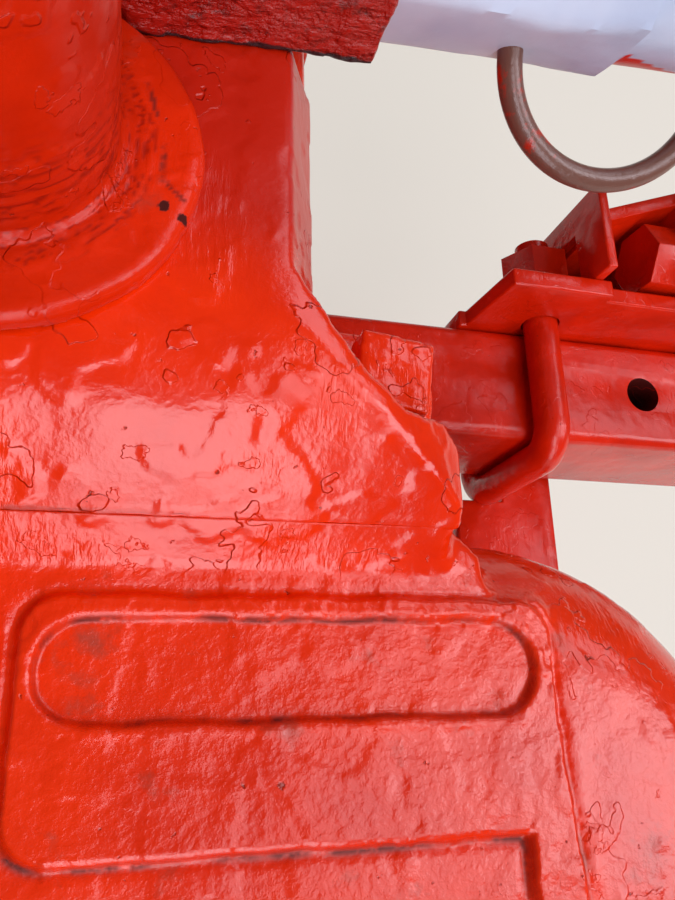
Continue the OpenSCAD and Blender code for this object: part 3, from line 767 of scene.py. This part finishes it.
def rolled_sheet(name, x0, x1, r, side, dented=False):
    """One sleeve as a closed sheet with a wavy hand-cut edge."""
    shape = bmesh.new()
    rows = 72
    columns = int(abs(x1 - x0) / 1.5)
    for skin in (0, 1):
        for j in range(columns + 1):
            share = j / columns
            for i in range(rows):
                turn_at = 2 * math.pi * i / rows
                wavy = noise.noise(Vector((math.cos(turn_at), math.sin(turn_at), x0))) * 1.3
                x = x0 + (x1 - x0) * share + wavy * (share ** 6 - (1 - share) ** 6) * 0.8
                dent = 0.22 * noise.noise(Vector((x / 14, math.cos(turn_at) * 1.6,
                                                  math.sin(turn_at) * 1.6)))
                radius = r + (SHEET - 0.15 if skin else 0.1) + dent * 0.5
                if dented:
                    crease = 0.12 * noise.noise(Vector((x / 22, 0.0, 4.0)))
                    radius = (radius + 0.5 + 0.9 * share ** 3) * folded(turn_at + crease)
                shape.verts.new(in_rig((side * x, TUBE_BACK - radius * math.sin(turn_at),
                                        TUBE_Z - radius * math.cos(turn_at))))
    shape.verts.ensure_lookup_table()
    size = (columns + 1) * rows

    def point(skin, j, i):
        return shape.verts[skin * size + j * rows + i % rows]

    for j in range(columns):
        for i in range(rows):
            shape.faces.new((point(1, j, i), point(1, j, i + 1), point(1, j + 1, i + 1),
                             point(1, j + 1, i)))
            shape.faces.new((point(0, j, i), point(0, j + 1, i), point(0, j + 1, i + 1),
                             point(0, j, i + 1)))
    rims = [e for e in shape.edges if len(e.link_faces) == 1]
    inner = {v: shape.verts[v.index - size] for v in shape.verts if v.index >= size}
    for edge in rims:
        a, b = edge.verts
        if a in inner and b in inner:
            shape.faces.new((a, b, inner[b], inner[a]))
    bmesh.ops.delete(shape, geom=[v for v in shape.verts if not v.link_faces], context="VERTS")
    bmesh.ops.recalc_face_normals(shape, faces=shape.faces)
    return placed(name, shape)


def joined(name, *pieces):
    """One mesh out of several pieces of the same make."""
    shape = bmesh.new()
    for piece in pieces:
        shape.from_mesh(piece.data)
        bpy.data.objects.remove(piece)
    return placed(name, shape)


# X of the ends of each sleeve and of the red patch, in millimetres
NEAR_SLEEVE = (51.5, 121.5)
FAR_SLEEVE = (108.5, 223.5)
RED_FROM = 121.0
RED_TO = 148.0

far_sleeves = joined("far_sheet_sleeves",
                     *[rolled_sheet("far", *FAR_SLEEVE, TUBE_R, side) for side in (1, -1)])
x, y, z = points_of(far_sleeves.data).T / MM
behind = y - x * math.sin(RIG_TURN) - RIG_Y - TUBE_BACK
around = np.degrees(np.arctan2(-behind, TUBE_Z - z))
end = RED_TO - 0.8 * np.abs(around - 38.0)
red = ramp(x, RED_FROM - 1.0, RED_FROM + 1.0) * ramp(end - x, -1.0, 1.0)
marked(far_sleeves.data, "red_patch", red * ramp(around, 20.0, 24.0))
finished(far_sleeves, pale_sheet, "housing", "pale_sheet", "sleeves_far")
flat_shaded(far_sleeves, 40)
near_sleeves = joined("near_sheet_sleeves",
                      *[rolled_sheet("near", *NEAR_SLEEVE, TUBE_R + SHEET, side, True)
                        for side in (1, -1)])
finished(near_sleeves, pale_sheet, "housing", "pale_sheet", "sleeves_near")
flat_shaded(near_sleeves, 40)


# The bent pipe.
# A thin steel pipe bent by hand into a loop under the tube, with its ends let into the tube.
# Brown primer shows on it, with red overspray in patches.

# millimetres across the frame and in the loop's own plane
LOOP_X = 124.0
LOOP_TILT = math.radians(35.0)
LOOP_BEND = 26.0
LOOP_DROP = 17.5
PIPE_R = 2.75
# depth of the pipe's ends inside the tube's skin, and length of its straight ends
SUNK = 5.0
STUB = 5.5


def pipe_finish(name):
    """Brown primer with a soft gloss, and red overspray in patches."""
    material = new_material(name)
    spot = add(material, "ShaderNodeTexCoord").outputs["Object"]
    patches = add(material, "ShaderNodeTexNoise",
                  {"Scale": 1 / 0.012, "Detail": 5.0, "Roughness": 0.6}, {"Vector": spot})
    tone = add(material, "ShaderNodeValToRGB", links={"Fac": patches.outputs["Fac"]})
    tone.color_ramp.elements[0].position = 0.55
    tone.color_ramp.elements[0].color = colour("6E4A3E")
    tone.color_ramp.elements[1].position = 0.61
    tone.color_ramp.elements[1].color = colour("B42A16")
    peel = stepped(material, spot, 0.0025, 4.0, 0.3, 0.8, 0.00008)
    paint = add(material, "ShaderNodeBsdfPrincipled", {"Roughness": 0.28, "IOR": 1.5},
                {"Base Color": tone.outputs["Color"], "Normal": peel.outputs["Normal"]})
    add(material, "ShaderNodeOutputMaterial", links={"Surface": paint.outputs[0]})
    return material


def in_loop(across, along):
    """A point in the plane of the pipe's loop."""
    y = TUBE_BACK + along * math.cos(LOOP_TILT)
    return in_rig((LOOP_X + across, y, TUBE_Z + along * math.sin(LOOP_TILT)))


def closed_skin(name, shape, rings):
    """Joins rings of points by faces, closes both ends and places the piece."""
    for one, other in zip(rings, rings[1:]):
        for i in range(len(one)):
            k = (i + 1) % len(one)
            shape.faces.new((one[i], one[k], other[k], other[i]))
    shape.faces.new(list(reversed(rings[0])))
    shape.faces.new(rings[-1])
    bmesh.ops.recalc_face_normals(shape, faces=shape.faces)
    return placed(name, shape)


def tube_along(name, centres, radius, sides=24):
    """A round bar swept along points, closed at both ends."""
    shape = bmesh.new()
    rings = []
    up = Vector((0.13, 0.21, 0.97)).normalized()
    for k, centre in enumerate(centres):
        before = centres[max(k - 1, 0)]
        after = centres[min(k + 1, len(centres) - 1)]
        ahead = (after - before).normalized()
        across = ahead.cross(up).normalized()
        up = across.cross(ahead).normalized()
        rings.append([shape.verts.new(centre + (across * math.cos(a) + up * math.sin(a)) * radius)
                      for a in [2 * math.pi * i / sides for i in range(sides)]])
    return closed_skin(name, shape, rings)


route = [in_loop(-LOOP_BEND, SUNK - TUBE_R - step) for step in np.linspace(0, STUB, 6)]
for a in np.linspace(0, math.pi, 60):
    wobble = 0.35 * math.sin(3 * a)
    route.append(in_loop(-(LOOP_BEND + wobble) * math.cos(a),
                         -LOOP_DROP - (LOOP_BEND + wobble) * math.sin(a)))
route += [in_loop(LOOP_BEND, SUNK - TUBE_R - step) for step in np.linspace(STUB, 0, 6)]
pipe = tube_along("bent_loop_pipe", route, PIPE_R * MM)
finished(pipe, pipe_finish("brown primer with red overspray"), "housing", "pipe_brown",
         "bent_pipe")


# The toolbar and its mount.
# A nearly square steel bar with worn round edges and pin holes, bolted to the gearbox's side.
# Red brush enamel covers it, and the walls of the pin holes are painted near black as shade.

# the pin holes in metres
HOLES_X = (0.203, 0.267)
HOLE_Y = 0.043
HOLE_R = 0.0068

from_solid("bar_mount_plate", 1.0, "bar_mount", 40)
from_solid("bar_mount_screws", 0.7, "bar_mount_bolts")
bar = from_solid("square_toolbar", 0.6, "toolbar", 50)
# painted shade: the walls of the pin holes are coloured near black
painted_bore_shade = red_enamel("painted shade in the pin holes", "4A0A06", "200404", "200404",
                         0.0002, 0.00010, 0.00006, 0.6, 0.2)
bar.data.materials.append(painted_bore_shade)
for face in bar.data.polygons:
    to_hole = min(math.hypot(face.center.x - hole_x, face.center.y - HOLE_Y)
                  for hole_x in HOLES_X)
    if to_hole < HOLE_R and abs(face.normal.z) < 0.5:
        face.material_index = 1


# The bracket behind the bar.
# Sheared plates welded into a box behind the bar: a clamp plate, a thin web, a slanted rear
# plate with its lug, and a big bolt through the lug. All are thick with the same enamel.

from_solid("clamp_plate_cut", 1.2, "clamp_plate")
from_solid("thin_web", 0.6, "clamp_web")
from_solid("rear_plate_and_lug", 0.9, "rear_plate")
from_solid("big_hex_bolt", 1.1, "big_bolt")


# The U-bolt and its nuts.
# A round steel rod bent round the bar, with thick nuts behind the clamp plate. The enamel
# has filled its threads.

painted(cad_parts["u_bolt"].data, thin_enamel)
from_solid("u_bolt_hex_nuts", 1.0, "u_bolt_nuts")


# The strap to the axle housing.
# Flat steel, cut away round the U-bolt, held by one bolt at each end. The cut's edge lies
# close to the rod.

# place, end and shift of the cut's edge in millimetres
NOTCH_Y = 10.0
NOTCH_END_X = 185.0
NOTCH_SHIFT = 3.5

strap = bevelled("flat_strap", 0.8, "strap")
spots = points_of(strap.data)
on_notch = np.abs(spots[:, 1] - NOTCH_Y * MM) < 1.5 * MM
spots[on_notch & (spots[:, 0] < NOTCH_END_X * MM), 1] += NOTCH_SHIFT * MM
move_points(strap.data, spots)
finished(strap, thin_enamel, "housing", "case_paint", "strap")
flat_shaded(strap, 30)
from_solid("strap_hex_bolts", 0.7, "strap_bolts")


# The ear bolts.
# Square-headed bolts in the casting's ears. Runs and lumps of enamel round off their heads.

heads = remeshed(placed("square_ear_bolts", merged("ear_bolts")), 0.6 * MM, 2)
spots = points_of(heads.data)
push_out(heads.data, cloud(spots, 4.5 * MM, 2, 3.3) * 0.18 * MM
         + cloud(spots, 1.6 * MM, 2, 5.1) * 0.08 * MM + old_flakes(spots, 5 * MM, 0.15 * MM, 4.0))
finished(heads, enamel, "housing", "case_paint", "ear_bolts")


# The sump and its bolts.
# A cast pan bolted under the case along a flange. It carries the whole part on the floor.

pan = thinned(remeshed(placed("sump_pan", merged("sump")), 2.0 * MM, 3), 0.35)
spots = points_of(pan.data)
uneven = cloud(spots, 15 * MM, 2, 5.5) * 0.25 * MM
push_out(pan.data, uneven * ramp(spots[:, 2], 1 * MM, 8 * MM))
finished(pan, enamel, "housing", "case_paint", "sump")
from_solid("sump_hex_bolts", 0.6, "sump_bolts")


# The axle housings.
# Cast trumpets let into both sides of the case, with a seat for the strap and a flange.

AXLE_Y = -90.0
AXLE_Z = 100.0
BORE_R = 21.0

for name, node in (("right_cast_trumpet", "right_trumpet"),
                   ("left_cast_trumpet", "left_trumpet")):
    trumpet = thinned(remeshed(placed(name, merged(node)), 1.6 * MM, 3), 0.4)
    spots = points_of(trumpet.data)
    from_axle = np.hypot(spots[:, 1] - AXLE_Y * MM, spots[:, 2] - AXLE_Z * MM)
    uneven = cloud(spots, 15 * MM, 2, 7.5) * 0.2 * MM
    push_out(trumpet.data, np.where(from_axle < BORE_R * MM, 0.0, uneven))
    finished(trumpet, enamel, "housing", "case_paint", node)


# The turning drive flanges.
# Turned steel flanges on short shafts, with bolt holes. They are bare, finely grained and
# lightly rusted.

def turned_steel(name, base, stain, roughness):
    """Grey metal gloss from the lathe, duller and brown where rust or oil stains it."""
    material = new_material(name)
    spot = add(material, "ShaderNodeTexCoord").outputs["Object"]
    patches = add(material, "ShaderNodeTexNoise",
                  {"Scale": 1 / 0.022, "Detail": 7.0, "Roughness": 0.65}, {"Vector": spot})
    tone = add(material, "ShaderNodeValToRGB", links={"Fac": patches.outputs["Fac"]})
    tone.color_ramp.elements[0].position = 0.42
    tone.color_ramp.elements[0].color = colour(base)
    tone.color_ramp.elements[1].position = 0.66
    tone.color_ramp.elements[1].color = colour(stain)
    worn = add(material, "ShaderNodeMapRange",
               {"From Min": 0.4, "From Max": 0.7, "To Min": roughness, "To Max": 0.62},
               {"Value": patches.outputs["Fac"]})
    grain = stepped(material, spot, 0.0012, 4.0, 0.3, 0.8, 0.00003)
    metal = add(material, "ShaderNodeBsdfPrincipled", {"Metallic": 1.0},
                {"Base Color": tone.outputs["Color"], "Roughness": worn.outputs["Result"],
                 "Normal": grain.outputs["Normal"]})
    add(material, "ShaderNodeOutputMaterial", links={"Surface": metal.outputs[0]})
    return material


bare_steel = turned_steel("turned steel, lightly rusted", "A29E98", "7C5A48", 0.3)

from_solid("right_drive_flange", 0.6, "right_drive", 30, bare_steel, "right_axle_end",
           "bare_steel")
from_solid("left_drive_flange", 0.6, "left_drive", 30, bare_steel, "left_axle_end",
           "bare_steel")


# The shafts and their covers.
# Splined steel shafts turn in bearing covers: the input shaft at the front, with ten milled
# grooves along its outer end, and the power take-off shaft at the rear, with six.

def splined(name, steps, height, root, teeth, grooves):
    """A shaft along Y from its turned steps, with milled grooves between two Y values."""
    shape = bmesh.new()
    per_tooth = 16
    sides = teeth * per_tooth
    rings = []
    for y, r in steps:
        ring = []
        for i in range(sides):
            a = 2 * math.pi * i / sides
            in_groove = grooves[0] <= y <= grooves[1] and 5 <= i % per_tooth <= 11
            size = min(r, root) if in_groove else r
            ring.append(shape.verts.new(
                Vector((size * math.cos(a), y, height + size * math.sin(a))) * MM))
        rings.append(ring)
    return closed_skin(name, shape, rings)


INPUT_Z = 150.0
PTO_Z = 190.0

# Y and radius of each step along the shafts; close pairs make the grooves' square ends
input_steps = [(112, 16.2), (112.8, 17), (173, 17), (173.9, 16.2), (174, 14), (178, 14),
               (178.01, 14), (226, 14), (228.5, 14), (230, 12.6)]
pto_steps = [(-110, 19.6), (-110.9, 20.45), (-161, 20.45), (-162, 19.5), (-162.01, 17.45),
             (-168, 17.45), (-168.01, 17.45), (-214, 17.45), (-218, 17.45), (-221, 14.6),
             (-225, 14.6), (-228, 17.45), (-235, 17.45), (-238, 15.4)]
input_shaft = splined("splined_input_shaft", input_steps, INPUT_Z, 11.8, 10, (178.005, 231))
finished(input_shaft, bare_steel, "input", "bare_steel", "input_shaft")
flat_shaded(input_shaft, 25)
pto_shaft = splined("splined_power_shaft", pto_steps, PTO_Z, 14.6, 6, (-239, -168.005))
finished(pto_shaft, bare_steel, "power_take_off", "bare_steel", "pto_shaft")
flat_shaded(pto_shaft, 25)
from_solid("front_bearing_cover", 1.0, "input_cover")
from_solid("rear_bearing_cover", 1.0, "pto_cover")


# The tower's cap, the gear lever and its knob.
# A red cap closes the column round a bare steel lever with a moulded black ball screwed on.

LEVER_LEAN = math.radians(8.0)
TOWER_TOP = 397.0

from_solid("tower_cap_turned", 1.0, "tower_cap")
painted(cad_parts["gear_lever"].data, bare_steel)


def black_plastic(name):
    """Deep black gloss, rubbed dull in patches."""
    material = new_material(name)
    spot = add(material, "ShaderNodeTexCoord").outputs["Object"]
    rubbed = add(material, "ShaderNodeTexNoise",
                 {"Scale": 1 / 0.012, "Detail": 5.0}, {"Vector": spot})
    tone = add(material, "ShaderNodeValToRGB", links={"Fac": rubbed.outputs["Fac"]})
    tone.color_ramp.elements[0].position = 0.4
    tone.color_ramp.elements[0].color = colour("141416")
    tone.color_ramp.elements[1].position = 0.7
    tone.color_ramp.elements[1].color = colour("26262A")
    dull = add(material, "ShaderNodeMapRange",
               {"From Min": 0.35, "From Max": 0.7, "To Min": 0.16, "To Max": 0.4},
               {"Value": rubbed.outputs["Fac"]})
    scuffs = stepped(material, spot, 0.002, 4.0, 0.35, 0.7, 0.00002)
    plastic = add(material, "ShaderNodeBsdfPrincipled", {"IOR": 1.5},
                  {"Base Color": tone.outputs["Color"], "Roughness": dull.outputs["Result"],
                   "Normal": scuffs.outputs["Normal"]})
    add(material, "ShaderNodeOutputMaterial", links={"Surface": plastic.outputs[0]})
    return material


KNOB_R = 19.0
LEVER_LEN = 190.0


def turned_on_lever(name, outline, sides=64):
    """A shape turned about the lever's axis from radius and height along the lever."""
    lean = Matrix.Rotation(LEVER_LEAN, 3, "Y")
    foot = Vector((0.0, TOWER_Y, TOWER_TOP))
    shape = bmesh.new()
    rings = []
    for r, h in outline:
        if r < 0.001:
            rings.append([shape.verts.new((foot + lean @ Vector((0, 0, h))) * MM)])
            continue
        rings.append([shape.verts.new(
            (foot + lean @ Vector((r * math.cos(a), r * math.sin(a), h))) * MM)
            for a in [2 * math.pi * i / sides for i in range(sides)]])
    for one, other in zip(rings, rings[1:]):
        for i in range(sides):
            k = (i + 1) % sides
            if len(one) == 1:
                shape.faces.new((one[0], other[k], other[i]))
            elif len(other) == 1:
                shape.faces.new((one[i], one[k], other[0]))
            else:
                shape.faces.new((one[i], one[k], other[k], other[i]))
    bmesh.ops.recalc_face_normals(shape, faces=shape.faces)
    return placed(name, shape)


ball_at = LEVER_LEN + KNOB_R - 6.0
ball = [(0.0, ball_at + KNOB_R)]
for a in np.radians(np.linspace(6, 150, 40)):
    ball.append((KNOB_R * math.sin(a), ball_at + KNOB_R * math.cos(a)))
# the ball's neck, its end face and the socket for the lever
ball += [(9.6, ball_at - 17.2), (9.4, LEVER_LEN - 5.5), (8.3, LEVER_LEN - 5.8),
         (8.1, LEVER_LEN), (0.0, LEVER_LEN + 0.1)]
knob = turned_on_lever("moulded_ball_knob", ball)
finished(knob, black_plastic("moulded black phenolic"), "housing", "knob_black", "knob")
flat_shaded(knob, 35)


# The plugs.
# Hexagon steel plugs for filling and draining, dark with oil.

oily_steel = turned_steel("oiled dark steel", "6C6660", "4A3228", 0.35)
from_solid("fill_plug_hex", 0.9, "fill_plug", 30, oily_steel, slot="bare_steel")
painted(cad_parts["drain_plug"].data, oily_steel)
